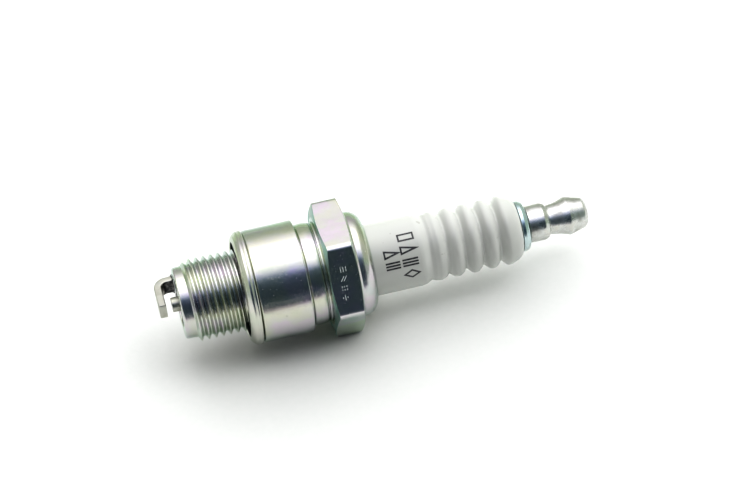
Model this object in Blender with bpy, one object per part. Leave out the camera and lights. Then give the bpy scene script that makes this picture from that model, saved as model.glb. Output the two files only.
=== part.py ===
"""Gasket-seat spark plug, M14 x 1.25, 12.7 mm reach, 20.8 mm hexagon, removable terminal nut.

The plug lies along +X with the firing end at -X and the terminal at +X. One flat of the hexagon
faces down on z = 0. Stations along the axis are measured from the gasket seat, positive towards
the terminal. Every piece is modelled in the plug's own frame (local z along the axis, local -x up)
and hangs on the empty "plug_axis", which lays that frame down along world +X.
"""
import math

import bmesh
import bpy

MM = 0.001

# Overall
SEGMENTS = 32                     # facets round every turned piece, all in the same phase
FIT_GAP = 0.2 * MM                # play between two pieces that touch on the real plug
FRONT_STATION = -16.1 * MM        # outer face of the ground strap
REAR_STATION = 58.4 * MM          # tip of the terminal nut

# Metal shell
THREAD_PITCH = 1.25 * MM
THREAD_CREST_R = 6.95 * MM
THREAD_ROOT_R = 6.2 * MM
THREAD_CREST_FLAT = 0.125         # share of the pitch
THREAD_FLANK = 0.346              # share of the pitch, for a 60 degree thread
THREAD_CREST_AT = -3.74 * MM      # a crest's station on local +x, which sets the thread's phase
THREAD_FRONT = -11.3 * MM
THREAD_REAR = -1.5 * MM
THREAD_LEAD_IN = 1.0 * MM
THREAD_RUN_OUT = 0.6 * MM
REACH = 12.7 * MM
LAND_R = 6.1 * MM
LAND_EDGE = 0.4 * MM
SEAT_R = 9.6 * MM
SEAT_CHAMFER = 0.3 * MM
SEAT_LENGTH = 8.6 * MM
SEAT_REAR_EDGE = 0.2 * MM
GROOVE_R = 8.35 * MM
BARREL_R = 8.65 * MM
BARREL_REAR_R = 8.5 * MM
BARREL_FRONT = 8.85 * MM
BARREL_REAR = 11.3 * MM
RING_FRONT = 11.6 * MM
RING_FRONT_R = 8.6 * MM
RING_REAR_R = 9.1 * MM
HEX_FRONT = 12.1 * MM
HEX_REAR = 17.1 * MM
HEX_ACROSS_FLATS = 20.8 * MM
HEX_CORNER_ROUND = 0.7 * MM      # along each flat
HEX_CHAMFER = math.radians(15)
HEX_FACE_R = 10.2 * MM
COLLAR_R = 8.95 * MM
COLLAR_ARC = 2.45 * MM
COLLAR_ARC_AT = 17.85 * MM
FRONT_BORE_R = 4.25 * MM
FRONT_BORE_REAR = -6.0 * MM
MIDDLE_BORE_R = 5.1 * MM
MIDDLE_BORE_REAR = 2.6 * MM
REAR_BORE_R = 7.5 * MM
REAR_BORE_FRONT = 3.2 * MM
REAR_BORE_REAR = 17.8 * MM
LIP_FRONT = 19.0 * MM

# Gasket, a folded ring that slides on the relief behind the thread
GASKET_REAR = -0.1 * MM
GASKET_FRONT = -2.2 * MM
GASKET_R = 9.75 * MM
GASKET_CREASE_AT = -0.98 * MM
GASKET_CREASE_R = 9.58 * MM
GASKET_INNER_R = 8.1 * MM
GASKET_LIP_R = 6.6 * MM
GASKET_LIP_FRONT = -0.7 * MM

# Insulator
NECK_R = 6.15 * MM
FLANGE_R = 7.2 * MM
TRUNK_R = 4.9 * MM
NOSE_TIP = -12.2 * MM
NOSE_TIP_R = 2.25 * MM
NOSE_ROOT_R = 3.6 * MM
NOSE_ROOT = -5.5 * MM
TRUNK_FRONT = -4.2 * MM
TRUNK_REAR = 3.2 * MM
FLANGE_FRONT = 3.9 * MM
FLANGE_REAR = 12.5 * MM
NECK_FRONT = 13.0 * MM
NECK_REAR = 28.3 * MM
RIB_STATIONS = [31.65 * MM, 34.7 * MM, 37.75 * MM, 40.8 * MM, 43.85 * MM]
RIB_R = 5.97 * MM
RIB_GROOVE_RADII = [5.48 * MM, 5.13 * MM, 4.87 * MM, 4.87 * MM, 4.87 * MM]
INSULATOR_REAR = 46.3 * MM
INSULATOR_REAR_R = 4.5 * MM
ELECTRODE_BORE_R = 1.45 * MM
STUD_BORE_FRONT = 2.0 * MM
STUD_BORE_R = 2.2 * MM

# Electrodes
CENTRE_R = 1.25 * MM
CENTRE_TIP = -13.85 * MM
CENTRE_HEAD_R = 1.95 * MM
CENTRE_HEAD_FRONT = 2.3 * MM
CENTRE_HEAD_REAR = 3.9 * MM
CORE_BORE_R = 0.9 * MM
CORE_BORE_FRONT = -11.8 * MM
STRAP_THICKNESS = 1.25 * MM
STRAP_WIDTH = 2.8 * MM
STRAP_R = 4.95 * MM               # middle of the strap's straight part
STRAP_BEND_R = 1.675 * MM         # middle of the strap
STRAP_END = -1.2 * MM             # past the axis
STRAP_EDGE = 0.15 * MM

# Terminal
SEAL_FRONT = 4.1 * MM
SEAL_REAR = 12.0 * MM
SEAL_R = 2.0 * MM
SEAL_BORE_R = 1.4 * MM
SEAL_BORE_FRONT = 7.0 * MM
STUD_TIP_R = 1.2 * MM
STUD_R = 1.9 * MM
STUD_SHAFT_FRONT = 12.5 * MM
STUD_FLANGE_R = 4.35 * MM
STUD_FLANGE_FRONT = 46.5 * MM
STUD_FLANGE_REAR = 47.75 * MM
STUD_FLANGE_EDGE = 0.45 * MM
POST_R = 1.95 * MM
POST_REAR = 56.5 * MM
NUT_FRONT = 47.95 * MM
NUT_BASE_R = 3.175 * MM
NUT_BASE_REAR = 50.7 * MM
NUT_NECK_R = 2.6 * MM
NUT_NECK_AT = 51.8 * MM
NUT_HEAD_R = 3.24 * MM
NUT_HEAD_AT = 55.0 * MM
NUT_TIP_R = 2.2 * MM
NUT_BORE_R = 2.1 * MM
NUT_BORE_REAR = 57.0 * MM

# Packing between the shell and the insulator
PACKING_WIRE_R = 0.4 * MM
PACKING_RING_R = 6.83 * MM
LOWER_RING_AT = 13.75 * MM
UPPER_RING_AT = 17.35 * MM
TALC_FRONT = 14.35 * MM
TALC_REAR = 16.75 * MM
TALC_INNER_R = 6.35 * MM
TALC_OUTER_R = 7.3 * MM
WASHER_AT = -5.125 * MM
WASHER_R = 4.55 * MM
WASHER_HALF_LENGTH = 0.3 * MM
WASHER_HALF_THICKNESS = 0.2 * MM


def clear_scene():
    for item in list(bpy.data.objects):
        bpy.data.objects.remove(item, do_unlink=True)


def material(name, color, roughness, metallic):
    """A Principled material with the piece's own colour."""
    made = bpy.data.materials.new(name)
    made.use_nodes = True
    shader = made.node_tree.nodes["Principled BSDF"]
    shader.inputs["Base Color"].default_value = (*color, 1.0)
    shader.inputs["Roughness"].default_value = roughness
    shader.inputs["Metallic"].default_value = metallic
    made.diffuse_color = (*color, 1.0)
    return made


def arc(at, height, radius, start, end, steps):
    """Outline points round (at, height), from one angle in degrees to another."""
    points = []
    for step in range(steps + 1):
        angle = math.radians(start + (end - start) * step / steps)
        points.append((at + radius * math.cos(angle), height + radius * math.sin(angle)))
    return points


def spin_outline(bm, outline, closed, segments=SEGMENTS):
    """Turn an outline of (station, radius) points a full circle round the axis."""
    verts = [bm.verts.new((radius, 0.0, station)) for station, radius in outline]
    ends = verts[1:] + verts[:1] if closed else verts[1:]
    edges = [bm.edges.new(pair) for pair in zip(verts, ends)]
    bmesh.ops.spin(
        bm,
        geom=verts + edges,
        cent=(0.0, 0.0, 0.0),
        axis=(0.0, 0.0, 1.0),
        angle=2.0 * math.pi,
        steps=segments,
        use_merge=True,
    )


def finish_mesh(bm, name, finish, parent, sharp_angle=30.0):
    """Weld, face the mesh outwards, and place it as a smooth-shaded object on the plug's axis."""
    bmesh.ops.remove_doubles(bm, verts=bm.verts, dist=0.001 * MM)
    bmesh.ops.recalc_face_normals(bm, faces=bm.faces)
    mesh = bpy.data.meshes.new(name)
    bm.to_mesh(mesh)
    bm.free()
    mesh.materials.append(finish)
    mesh.shade_smooth()
    mesh.set_sharp_from_angle(angle=math.radians(sharp_angle))
    piece = bpy.data.objects.new(name, mesh)
    bpy.context.collection.objects.link(piece)
    piece.parent = parent
    return piece


def turned(name, outline, finish, parent, segments=SEGMENTS):
    """A turned piece. An outline that starts on the axis stays open there."""
    bm = bmesh.new()
    spin_outline(bm, outline, closed=outline[0][1] > 0.0, segments=segments)
    return finish_mesh(bm, name, finish, parent)


def on_axis(piece, station):
    """Move a piece's origin along the plug's axis without moving its shape."""
    for vertex in piece.data.vertices:
        vertex.co.z -= station
    piece.location.z = station
    return piece


# ---------------------------------------------------------------- metal shell

def add_thread(bm):
    """The external thread: rows of points that climb one pitch a turn, faded out at both ends."""
    profile = [
        (-THREAD_CREST_FLAT / 2 - THREAD_FLANK, THREAD_ROOT_R),
        (-THREAD_CREST_FLAT / 2, THREAD_CREST_R),
        (THREAD_CREST_FLAT / 2, THREAD_CREST_R),
        (THREAD_CREST_FLAT / 2 + THREAD_FLANK, THREAD_ROOT_R),
    ]
    turns_before = math.ceil((THREAD_CREST_AT - THREAD_FRONT) / THREAD_PITCH) + 2
    first_crest = THREAD_CREST_AT - turns_before * THREAD_PITCH
    turns = math.ceil((THREAD_REAR - first_crest) / THREAD_PITCH) + 1
    rows = []
    for row in range(turns * len(profile)):
        share, full_r = profile[row % len(profile)]
        ring = []
        for column in range(SEGMENTS):
            climb = row // len(profile) + share + column / SEGMENTS
            station = first_crest + climb * THREAD_PITCH
            station = min(max(station, THREAD_FRONT), THREAD_REAR)
            lead = (station - THREAD_FRONT) / THREAD_LEAD_IN
            run = (THREAD_REAR - station) / THREAD_RUN_OUT
            radius = LAND_R + (full_r - LAND_R) * min(lead, run, 1.0)
            angle = 2.0 * math.pi * column / SEGMENTS
            ring.append(bm.verts.new((radius * math.cos(angle), radius * math.sin(angle), station)))
        rows.append(ring)
    for row in range(len(rows) - 1):
        for column in range(SEGMENTS - 1):
            bm.faces.new((
                rows[row][column],
                rows[row][column + 1],
                rows[row + 1][column + 1],
                rows[row + 1][column],
            ))
    for row in range(len(rows) - 1 - len(profile)):
        bm.faces.new((
            rows[row][-1],
            rows[row + len(profile)][0],
            rows[row + len(profile) + 1][0],
            rows[row + 1][-1],
        ))


def shell_outline():
    """The shell's outline from the rear end of the thread, round the rear lip, to its front end."""
    corner_r = HEX_ACROSS_FLATS / 2 / math.cos(math.radians(30)) + 0.1 * MM
    chamfer = (corner_r - HEX_FACE_R) * math.tan(HEX_CHAMFER)
    lip_r = NECK_R + FIT_GAP
    lip_arc_r = COLLAR_R - COLLAR_ARC
    points = [(THREAD_REAR, LAND_R), (-0.35 * MM, LAND_R), (0.0, LAND_R + 0.35 * MM)]
    points += [(0.0, SEAT_R - SEAT_CHAMFER), (SEAT_CHAMFER, SEAT_R)]
    points += arc(SEAT_LENGTH - SEAT_REAR_EDGE, SEAT_R - SEAT_REAR_EDGE, SEAT_REAR_EDGE, 90, 0, 3)
    points += [(SEAT_LENGTH, GROOVE_R), (BARREL_FRONT, GROOVE_R)]
    points += [((BARREL_FRONT + BARREL_REAR) / 2, BARREL_R), (BARREL_REAR, BARREL_REAR_R)]
    points += [(RING_FRONT - 0.1 * MM, GROOVE_R), (RING_FRONT, RING_FRONT_R)]
    points += [(HEX_FRONT, RING_REAR_R), (HEX_FRONT, HEX_FACE_R), (HEX_FRONT + chamfer, corner_r)]
    points += [(HEX_REAR - chamfer, corner_r), (HEX_REAR, HEX_FACE_R), (HEX_REAR, COLLAR_R)]
    points += arc(COLLAR_ARC_AT, lip_arc_r, COLLAR_ARC, 90, 0, 6)
    points += [(COLLAR_ARC_AT + COLLAR_ARC - 0.15 * MM, lip_r), (LIP_FRONT, lip_r)]
    points += [(REAR_BORE_REAR, REAR_BORE_R), (REAR_BORE_FRONT, REAR_BORE_R)]
    points += [(MIDDLE_BORE_REAR, MIDDLE_BORE_R)]
    points += [(FRONT_BORE_REAR + MIDDLE_BORE_R - FRONT_BORE_R, MIDDLE_BORE_R)]
    points += [(FRONT_BORE_REAR, FRONT_BORE_R), (-REACH + 0.2 * MM, FRONT_BORE_R)]
    points += [(-REACH, FRONT_BORE_R + 0.2 * MM)]
    points += arc(-REACH + LAND_EDGE, LAND_R - LAND_EDGE, LAND_EDGE, 180, 90, 2)
    points += [(THREAD_FRONT, LAND_R)]
    return points


def hexagon_form(parent):
    """A long hexagonal bar, flat side down, that the shell is cut to."""
    bm = bmesh.new()
    corner_r = HEX_ACROSS_FLATS / 2 / math.cos(math.radians(30))
    ring = []
    for corner in range(6):
        angle = math.radians(30 + 60 * corner)
        ring.append(bm.verts.new((corner_r * math.cos(angle), corner_r * math.sin(angle), -REACH - MM)))
    base = bm.faces.new(ring)
    grown = bmesh.ops.extrude_face_region(bm, geom=[base])
    tops = [item for item in grown["geom"] if isinstance(item, bmesh.types.BMVert)]
    bmesh.ops.translate(bm, verts=tops, vec=(0.0, 0.0, REACH + COLLAR_ARC_AT + COLLAR_ARC + 2 * MM))
    uprights = [edge for edge in bm.edges if abs(edge.verts[0].co.z - edge.verts[1].co.z) > MM]
    bmesh.ops.bevel(bm, geom=uprights, offset=HEX_CORNER_ROUND, segments=3, profile=0.5, affect="EDGES")
    bmesh.ops.recalc_face_normals(bm, faces=bm.faces)
    mesh = bpy.data.meshes.new("hexagon_form")
    bm.to_mesh(mesh)
    bm.free()
    form = bpy.data.objects.new("hexagon_form", mesh)
    bpy.context.collection.objects.link(form)
    form.parent = parent
    form.hide_render = True
    form.display_type = "WIRE"
    return form


def make_shell(parent, finish):
    bm = bmesh.new()
    add_thread(bm)
    spin_outline(bm, shell_outline(), closed=False)
    shell = finish_mesh(bm, "metal_shell", finish, parent)
    cut = shell.modifiers.new("hexagon", "BOOLEAN")
    cut.operation = "INTERSECT"
    cut.solver = "EXACT"
    cut.object = hexagon_form(parent)
    return shell


def make_gasket(parent, finish):
    """A folded sheet: a narrow rear roll, a sloping front roll and a thin lip behind the thread."""
    rear_roll = 0.42 * MM
    front_roll = 0.35 * MM
    inner_edge = 0.3 * MM
    outline = [(GASKET_REAR, GASKET_LIP_R)]
    outline += arc(GASKET_REAR - rear_roll, GASKET_R - rear_roll, rear_roll, 0, 120, 4)
    outline += [(GASKET_CREASE_AT, GASKET_CREASE_R), (GASKET_CREASE_AT - 0.2 * MM, GASKET_R - 0.08 * MM)]
    outline += arc(GASKET_FRONT + front_roll, GASKET_R - 0.75 * MM - front_roll, front_roll, 135, 180, 3)
    outline += arc(GASKET_FRONT + inner_edge, GASKET_INNER_R + inner_edge, inner_edge, 180, 270, 2)
    outline += [(GASKET_CREASE_AT, GASKET_INNER_R)]
    outline += [(GASKET_LIP_FRONT, GASKET_LIP_R + 0.8 * MM), (GASKET_LIP_FRONT, GASKET_LIP_R)]
    return on_axis(turned("gasket", outline, finish, parent), GASKET_REAR)


# ---------------------------------------------------------------- insulator

def rib_points():
    """The ribs between the neck and the crown: one wave, which dips to a groove before each rib."""
    spacing = RIB_STATIONS[1] - RIB_STATIONS[0]
    points = []
    for number, (station, groove_r) in enumerate(zip(RIB_STATIONS, RIB_GROOVE_RADII)):
        groove = station - spacing / 2
        middle = (RIB_R + groove_r) / 2
        points += [(groove - 0.35 * MM, groove_r + 0.1 * MM), (groove + 0.25 * MM, groove_r)]
        points += [(groove + 0.75 * MM, middle), (station - 0.4 * MM, RIB_R - 0.08 * MM)]
        points += [(station, RIB_R)]
        if number < len(RIB_STATIONS) - 1:
            points += [(station + 0.45 * MM, RIB_R - 0.12 * MM)]
    return points


def make_insulator(parent, finish):
    crown = 1.9 * MM
    outline = [(NOSE_TIP, ELECTRODE_BORE_R), (NOSE_TIP, NOSE_TIP_R)]
    outline += [(NOSE_TIP + 0.25 * MM, NOSE_TIP_R + 0.2 * MM), (NOSE_ROOT, NOSE_ROOT_R)]
    outline += [(NOSE_ROOT + 0.3 * MM, NOSE_ROOT_R + 0.3 * MM), (TRUNK_FRONT, TRUNK_R)]
    outline += [(TRUNK_REAR, TRUNK_R), (FLANGE_FRONT, FLANGE_R), (FLANGE_REAR, FLANGE_R)]
    outline += [(NECK_FRONT, NECK_R), (NECK_REAR, NECK_R)]
    outline += rib_points()
    outline += arc(INSULATOR_REAR - crown, INSULATOR_REAR_R - 0.5 * MM, crown, 75, 0, 5)
    outline += [(INSULATOR_REAR, STUD_BORE_R), (STUD_BORE_FRONT, STUD_BORE_R)]
    outline += [(STUD_BORE_FRONT - 0.3 * MM, ELECTRODE_BORE_R)]
    return turned("insulator", outline, finish, parent)


# ---------------------------------------------------------------- electrodes

def make_centre_electrode(parent, finish):
    edge = 0.12 * MM
    outline = [(CENTRE_TIP, 0.0), (CENTRE_TIP, CENTRE_R - edge), (CENTRE_TIP + edge, CENTRE_R)]
    outline += [(STUD_BORE_FRONT - 0.4 * MM, CENTRE_R), (CENTRE_HEAD_FRONT, CENTRE_HEAD_R)]
    outline += [(CENTRE_HEAD_REAR, CENTRE_HEAD_R), (CENTRE_HEAD_REAR, CORE_BORE_R)]
    outline += [(CORE_BORE_FRONT, CORE_BORE_R), (CORE_BORE_FRONT, 0.0)]
    return turned("center_electrode", outline, finish, parent, segments=24)


def make_copper_core(parent, finish):
    core_r = CORE_BORE_R - FIT_GAP
    front = CORE_BORE_FRONT + FIT_GAP
    outline = [(front, 0.0), (front, core_r), (CENTRE_HEAD_REAR, core_r), (CENTRE_HEAD_REAR, 0.0)]
    return turned("copper_core", outline, finish, parent, segments=24)


def strap_path():
    """The strap's middle line as (radial place, station, heading), root first."""
    bend_at = FRONT_STATION + STRAP_THICKNESS / 2 + STRAP_BEND_R
    bend_r = STRAP_R - STRAP_BEND_R
    steps = 8
    path = [(STRAP_R, -REACH - FIT_GAP, 0.0)]
    for step in range(steps + 1):
        turn = math.radians(90) * step / steps
        radial = bend_r + STRAP_BEND_R * math.cos(turn)
        path.append((radial, bend_at - STRAP_BEND_R * math.sin(turn), turn))
    path.append((STRAP_END, FRONT_STATION + STRAP_THICKNESS / 2, math.radians(90)))
    return path


def make_ground_electrode(parent, finish):
    """A flat bar that rises from the shell's rim and bends over the centre electrode."""
    half_w = STRAP_WIDTH / 2
    half_t = STRAP_THICKNESS / 2
    inner_w = half_w - STRAP_EDGE
    inner_t = half_t - STRAP_EDGE
    section = [(half_w, inner_t), (inner_w, half_t), (-inner_w, half_t), (-half_w, inner_t)]
    section += [(-half_w, -inner_t), (-inner_w, -half_t), (inner_w, -half_t), (half_w, -inner_t)]
    bm = bmesh.new()
    rings = []
    for radial, station, turn in strap_path():
        ring = []
        for across, out in section:
            place = (across, radial + out * math.cos(turn), station - out * math.sin(turn))
            ring.append(bm.verts.new(place))
        rings.append(ring)
    for ring, following in zip(rings, rings[1:]):
        for side in range(len(section)):
            after = (side + 1) % len(section)
            bm.faces.new((ring[side], ring[after], following[after], following[side]))
    bm.faces.new(rings[0])
    bm.faces.new(rings[-1])
    return finish_mesh(bm, "ground_electrode", finish, parent)


# ---------------------------------------------------------------- terminal

def make_glass_seal(parent, finish):
    outline = [(SEAL_FRONT, 0.0), (SEAL_FRONT, SEAL_R), (SEAL_REAR, SEAL_R), (SEAL_REAR, SEAL_BORE_R)]
    outline += [(SEAL_BORE_FRONT, SEAL_BORE_R), (SEAL_BORE_FRONT, 0.0)]
    return turned("glass_seal", outline, finish, parent, segments=24)


def make_terminal_stud(parent, finish):
    front = SEAL_BORE_FRONT + FIT_GAP
    edge = STUD_FLANGE_EDGE
    post_edge = 0.4 * MM
    outline = [(front, 0.0), (front, STUD_TIP_R), (STUD_SHAFT_FRONT - 0.3 * MM, STUD_TIP_R)]
    outline += [(STUD_SHAFT_FRONT, STUD_R), (STUD_FLANGE_FRONT, STUD_R)]
    outline += [(STUD_FLANGE_FRONT, STUD_FLANGE_R - 0.15 * MM)]
    outline += [(STUD_FLANGE_FRONT + 0.15 * MM, STUD_FLANGE_R)]
    outline += arc(STUD_FLANGE_REAR - edge, STUD_FLANGE_R - edge, edge, 90, 0, 3)
    outline += [(STUD_FLANGE_REAR, POST_R), (POST_REAR - post_edge, POST_R)]
    outline += [(POST_REAR, POST_R - post_edge), (POST_REAR, 0.0)]
    return turned("terminal_stud", outline, finish, parent)


def make_terminal_nut(parent, finish):
    """A turned cap: plain base, waist, and a rounded head that the cable's clip snaps over."""
    head_length = REAR_STATION - NUT_NECK_AT
    steps = 8
    outline = [(NUT_FRONT, NUT_BORE_R + 0.2 * MM), (NUT_FRONT, NUT_BASE_R - 0.12 * MM)]
    outline += [(NUT_FRONT + 0.12 * MM, NUT_BASE_R), (NUT_BASE_REAR, NUT_BASE_R)]
    for step in range(steps + 1):
        station = NUT_NECK_AT + head_length * step / steps
        outline.append((station, nut_head_radius(station)))
    outline += [(REAR_STATION, 0.0), (NUT_BORE_REAR + 0.6 * MM, 0.0), (NUT_BORE_REAR, NUT_BORE_R)]
    outline += [(NUT_FRONT + 0.2 * MM, NUT_BORE_R)]
    bm = bmesh.new()
    spin_outline(bm, outline, closed=True)
    nut = finish_mesh(bm, "terminal_nut", finish, parent)
    return on_axis(nut, NUT_FRONT)


def nut_head_radius(station):
    """The head swells from the waist to its widest ring, then draws in to the tip."""
    if station <= NUT_HEAD_AT:
        share = (station - NUT_NECK_AT) / (NUT_HEAD_AT - NUT_NECK_AT)
        return NUT_NECK_R + (NUT_HEAD_R - NUT_NECK_R) * share ** 1.6
    share = (station - NUT_HEAD_AT) / (REAR_STATION - NUT_HEAD_AT)
    return NUT_HEAD_R - (NUT_HEAD_R - NUT_TIP_R) * share ** 1.7


# ---------------------------------------------------------------- packing

def make_packing_ring(name, station, parent, finish):
    outline = arc(station, PACKING_RING_R, PACKING_WIRE_R, 0, 315, 7)
    return turned(name, outline, finish, parent, segments=24)


def make_talc(parent, finish):
    outline = [(TALC_FRONT, TALC_INNER_R), (TALC_FRONT, TALC_OUTER_R)]
    outline += [(TALC_REAR, TALC_OUTER_R), (TALC_REAR, TALC_INNER_R)]
    return turned("talc_filling", outline, finish, parent)


def make_shoulder_packing(parent, finish):
    """A washer pressed into a 45 degree cone between the shell's ledge and the insulator."""
    slope = math.sqrt(0.5)
    outline = []
    corners = [(1, 1), (1, -1), (-1, -1), (-1, 1)]
    for along, through in corners:
        station = WASHER_AT + slope * (along * WASHER_HALF_LENGTH + through * WASHER_HALF_THICKNESS)
        radius = WASHER_R + slope * (along * WASHER_HALF_LENGTH - through * WASHER_HALF_THICKNESS)
        outline.append((station, radius))
    return turned("shoulder_packing", outline, finish, parent)


def main():
    clear_scene()
    axis = bpy.data.objects.new("plug_axis", None)
    bpy.context.collection.objects.link(axis)
    axis.rotation_euler = (0.0, math.radians(90), 0.0)
    axis.location = (-(FRONT_STATION + REAR_STATION) / 2, 0.0, HEX_ACROSS_FLATS / 2)

    plated = material("plated_steel", (0.62, 0.63, 0.58), 0.28, 1.0)
    gasket_steel = material("gasket_steel", (0.66, 0.68, 0.60), 0.32, 1.0)
    ceramic = material("glazed_ceramic", (0.90, 0.90, 0.88), 0.12, 0.0)
    nickel = material("nickel_alloy", (0.50, 0.48, 0.44), 0.42, 1.0)
    copper = material("copper", (0.72, 0.38, 0.24), 0.35, 1.0)
    glass = material("seal_glass", (0.30, 0.24, 0.20), 0.50, 0.0)
    zinc = material("zinc_steel", (0.50, 0.60, 0.60), 0.35, 1.0)
    nut_nickel = material("nut_nickel", (0.70, 0.67, 0.62), 0.30, 1.0)
    packing = material("packing_steel", (0.42, 0.42, 0.43), 0.50, 1.0)
    talc = material("talc", (0.84, 0.82, 0.78), 0.90, 0.0)

    make_shell(axis, plated)
    make_gasket(axis, gasket_steel)
    make_insulator(axis, ceramic)
    make_centre_electrode(axis, nickel)
    make_copper_core(axis, copper)
    make_ground_electrode(axis, nickel)
    make_glass_seal(axis, glass)
    make_terminal_stud(axis, zinc)
    make_terminal_nut(axis, nut_nickel)
    make_packing_ring("packing_ring_lower", LOWER_RING_AT, axis, packing)
    make_packing_ring("packing_ring_upper", UPPER_RING_AT, axis, packing)
    make_talc(axis, talc)
    make_shoulder_packing(axis, packing)


main()
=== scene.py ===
"""Looks of the spark plug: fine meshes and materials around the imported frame, on a pale floor.

Outlines are written in millimetres, as (station, radius) on the plug's own axis. Stations count
from the gasket seat, positive towards the terminal. Each piece is made in the plug's own frame,
with local z along the axis and local -x up, and finish_piece() lays it where the frame has it.
"""
import math

import bmesh
import bpy
import numpy as np
from mathutils import Matrix, Vector


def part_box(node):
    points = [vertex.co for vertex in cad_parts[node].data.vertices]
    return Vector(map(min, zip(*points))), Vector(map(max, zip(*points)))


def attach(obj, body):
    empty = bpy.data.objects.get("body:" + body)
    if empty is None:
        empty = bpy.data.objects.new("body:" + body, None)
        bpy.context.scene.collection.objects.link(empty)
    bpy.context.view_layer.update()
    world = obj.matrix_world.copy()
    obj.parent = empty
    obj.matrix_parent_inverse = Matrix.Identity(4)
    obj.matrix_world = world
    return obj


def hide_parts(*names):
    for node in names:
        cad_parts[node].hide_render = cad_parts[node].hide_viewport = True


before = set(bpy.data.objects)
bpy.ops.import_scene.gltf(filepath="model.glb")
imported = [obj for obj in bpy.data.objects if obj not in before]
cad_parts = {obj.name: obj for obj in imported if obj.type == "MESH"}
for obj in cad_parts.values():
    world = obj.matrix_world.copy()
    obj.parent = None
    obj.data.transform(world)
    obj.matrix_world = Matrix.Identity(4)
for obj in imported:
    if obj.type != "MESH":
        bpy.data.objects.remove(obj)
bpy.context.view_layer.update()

MM = 0.001
COLUMNS = 192                     # facets round the large turned pieces
SMALL_COLUMNS = 96                # and round the thin ones
SUPPORT_GAP = 0.05                # how far a support point stands from its corner
WELD_GAP = 0.0004                 # points closer than this are joined
REACH = 12.7

shell_low, shell_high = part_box("metal_shell")
AXIS_Z = (shell_low.z + shell_high.z) / 2
SEAT_X = shell_low.x + REACH * MM
PLUG_FRAME = Matrix.Translation((SEAT_X, 0.0, AXIS_Z)) @ Matrix.Rotation(math.radians(90), 4, "Y")


def station(x):
    """A place along world X as a station in millimetres."""
    return (x - SEAT_X) / MM


# ---------------------------------------------------------------- outlines and meshes

def rounded(corners, closed=False, steps=6):
    """Outline points from (station, radius, fillet) corners, each fillet drawn as an arc."""
    count = len(corners)
    points = []
    for index, (at, height, fillet) in enumerate(corners):
        corner = np.array((at, height))
        inner = closed or 0 < index < count - 1
        if fillet == 0 or not inner:
            points.append(corner)
            continue
        back = np.array(corners[index - 1][:2]) - corner
        ahead = np.array(corners[(index + 1) % count][:2]) - corner
        back_length, ahead_length = np.linalg.norm(back), np.linalg.norm(ahead)
        back, ahead = back / back_length, ahead / ahead_length
        half = math.acos(max(-1.0, min(1.0, float(back @ ahead)))) / 2
        reach = min(fillet / math.tan(half), 0.48 * back_length, 0.48 * ahead_length)
        radius = reach * math.tan(half)
        middle = (back + ahead) / np.linalg.norm(back + ahead)
        centre = corner + middle * radius / math.sin(half)
        start = corner + back * reach - centre
        end = corner + ahead * reach - centre
        swing = math.pi - 2 * half
        for step in range(steps + 1):
            share = step / steps
            blend = (math.sin((1 - share) * swing) * start + math.sin(share * swing) * end)
            points.append(centre + blend / math.sin(swing))
    return points


def arc(at, height, radius, start, end, steps):
    """Corner points round (at, height); angles in degrees, 0 towards the terminal, 90 outwards."""
    angles = [math.radians(start + (end - start) * step / steps) for step in range(steps + 1)]
    return [(at + radius * math.cos(a), height + radius * math.sin(a), 0) for a in angles]


def smooth_curve(points):
    """Corner points on a curve that passes smoothly through the given (station, radius) points."""
    steps = 5
    ends = [np.array(point) for point in (points[0], *points, points[-1])]
    curve = []
    for before, here, there, after in zip(ends, ends[1:], ends[2:], ends[3:]):
        for step in range(steps):
            x = step / steps
            place = 0.5 * (
                2 * here + (there - before) * x + (2 * before - 5 * here + 4 * there - after) * x ** 2
                + (3 * here - before - 3 * there + after) * x ** 3
            )
            curve.append((place[0], place[1], 0))
    curve.append((*points[-1], 0))
    return curve


def with_supports(points, closed=False):
    """Adds a point close to each end of every long span, so that smooth shading stays flat there."""
    spans = len(points) if closed else len(points) - 1
    held = []
    for index in range(spans):
        here, there = points[index], points[(index + 1) % len(points)]
        held.append(here)
        length = np.linalg.norm(there - here)
        if length > 4 * SUPPORT_GAP:
            held.append(here + (there - here) * SUPPORT_GAP / length)
            held.append(there + (here - there) * SUPPORT_GAP / length)
    if not closed:
        held.append(points[-1])
    return held


def circle_row(at, radius, columns=COLUMNS):
    angles = 2 * math.pi * np.arange(columns) / columns
    return np.column_stack((radius * np.cos(angles), radius * np.sin(angles), np.full(columns, at)))


def rows_of(points, columns=COLUMNS):
    return [circle_row(at, radius, columns) for at, radius in points]


def skin(bm, rings, loop=False):
    """Joins successive rings of vertices with quads, and the last to the first in a loop."""
    pairs = list(zip(rings, rings[1:]))
    if loop:
        pairs.append((rings[-1], rings[0]))
    for low, high in pairs:
        for i in range(len(low)):
            j = (i + 1) % len(low)
            bm.faces.new((low[i], low[j], high[j], high[i]))


def add_rows(bm, rows, loop=False):
    skin(bm, [[bm.verts.new(point * MM) for point in row] for row in rows], loop)


def linked_object(name, data):
    """A new object in the scene for a mesh or a camera."""
    item = bpy.data.objects.new(name, data)
    bpy.context.collection.objects.link(item)
    return item


def finish_piece(bm, name, materials, sharp_angle=28.0):
    """Welds the mesh, faces it outwards and lays it on the plug's axis."""
    bmesh.ops.remove_doubles(bm, verts=bm.verts, dist=WELD_GAP * MM)
    bmesh.ops.recalc_face_normals(bm, faces=bm.faces)
    mesh = bpy.data.meshes.new(name)
    bm.to_mesh(mesh)
    bm.free()
    for item in materials:
        mesh.materials.append(item)
    mesh.shade_smooth()
    mesh.set_sharp_from_angle(angle=math.radians(sharp_angle))
    piece = linked_object(name, mesh)
    piece.matrix_world = PLUG_FRAME
    return piece


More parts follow.
